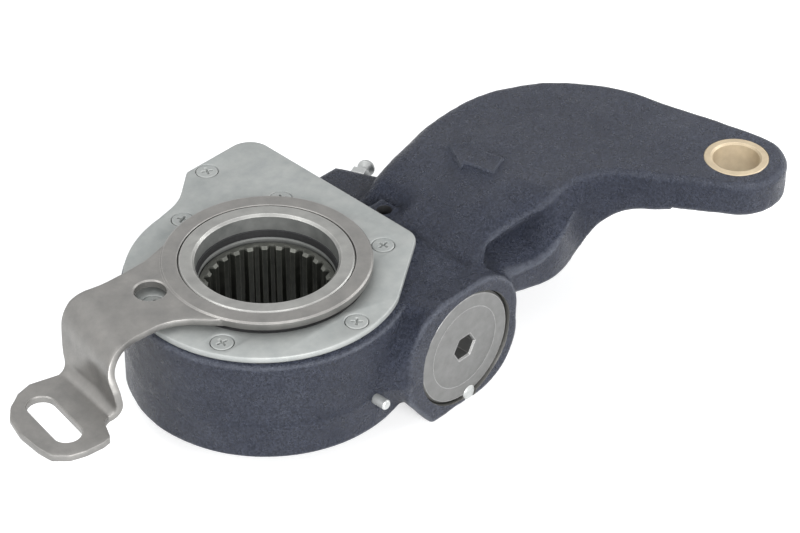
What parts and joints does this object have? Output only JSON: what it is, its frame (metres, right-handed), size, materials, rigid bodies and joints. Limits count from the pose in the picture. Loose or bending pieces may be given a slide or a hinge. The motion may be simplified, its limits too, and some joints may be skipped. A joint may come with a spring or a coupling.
{
  "type": "automatic brake slack adjuster",
  "caption": "Automatic brake slack adjuster: a cast lever with a clevis eye on a splined worm wheel, a worm under an end cap, and a control arm on the cover.",
  "frame": {"origin": "centre of the splined bore, at the hub's lower face", "axes": "+Z along the camshaft axis, out through the cover plate; +X from the camshaft axis through the worm axis; +Y along the worm, towards the adjusting hex"},
  "size_m": [0.2614, 0.1603, 0.0545],
  "materials": {
    "casting_paint": "satin",
    "zinc_plate": "satin",
    "control_arm_steel": "satin",
    "collar_steel": "satin",
    "gear_steel": "satin",
    "end_cap_steel": "satin",
    "spring_steel": "satin",
    "bushing_bronze": "satin",
    "seal_rubber": "matte"
  },
  "bodies": {
    "housing_body": {"housing": "casting_paint", "clevis_bushing": "bushing_bronze", "cover_plate": "zinc_plate", "cover_gasket": "seal_rubber", "cover_screw_1": "zinc_plate", "cover_screw_2": "zinc_plate", "cover_screw_3": "zinc_plate", "cover_screw_4": "zinc_plate", "cover_screw_5": "zinc_plate", "cover_screw_6": "zinc_plate", "cover_screw_7": "zinc_plate", "collar_seal": "seal_rubber", "wheel_seal": "seal_rubber", "end_cap": "end_cap_steel", "end_cap_seal": "seal_rubber", "locking_pin": "collar_steel", "stop_pin": "collar_steel", "grease_nipple": "zinc_plate", "adjuster_bush": "gear_steel", "adjuster_seal": "seal_rubber", "thrust_bearing": "gear_steel", "spring_seat": "gear_steel", "main_spring": "spring_steel"},
    "wheel": {"worm_wheel": "gear_steel"},
    "worm": {"worm_screw": "gear_steel", "clutch_wheel": "gear_steel", "clutch_spring": "spring_steel"},
    "control": {"control_arm": "control_arm_steel", "control_disc": "collar_steel", "bore_seal": "seal_rubber"},
    "rack": {"rack": "gear_steel"},
    "clutch_ring": {"clutch_ring": "gear_steel"}
  },
  "joints": [
    {"name": "wheel_turn", "type": "hinge", "parent": "housing_body", "child": "wheel", "pos_m": [0, 0, 0.0134], "axis": [0, 0, 1], "continuous": true},
    {"name": "worm_turn", "type": "hinge", "parent": "housing_body", "child": "worm", "pos_m": [0.03901, 0, 0.0134], "axis": [0, 1, 0], "continuous": true},
    {"name": "control_swing", "type": "hinge", "parent": "housing_body", "child": "control", "pos_m": [0, 0, 0.0343], "axis": [0, 0, 1], "range_deg": [-8, 14]},
    {"name": "rack_slide", "type": "slide", "parent": "housing_body", "child": "rack", "axis": [1, 0, 0], "range_m": [-0.0078, 0.0045]},
    {"name": "clutch_ring_turn", "type": "hinge", "parent": "housing_body", "child": "clutch_ring", "pos_m": [0.03901, 0.0312, 0.0134], "axis": [0, 1, 0], "range_deg": [-40.7, 23.3]}
  ],
  "couplings": [
    {"joint": "worm_turn", "follows": "wheel_turn", "ratio": -24},
    {"joint": "rack_slide", "follows": "control_swing", "m_per_rad": -0.0319},
    {"joint": "clutch_ring_turn", "follows": "control_swing", "ratio": -2.9}
  ]
}
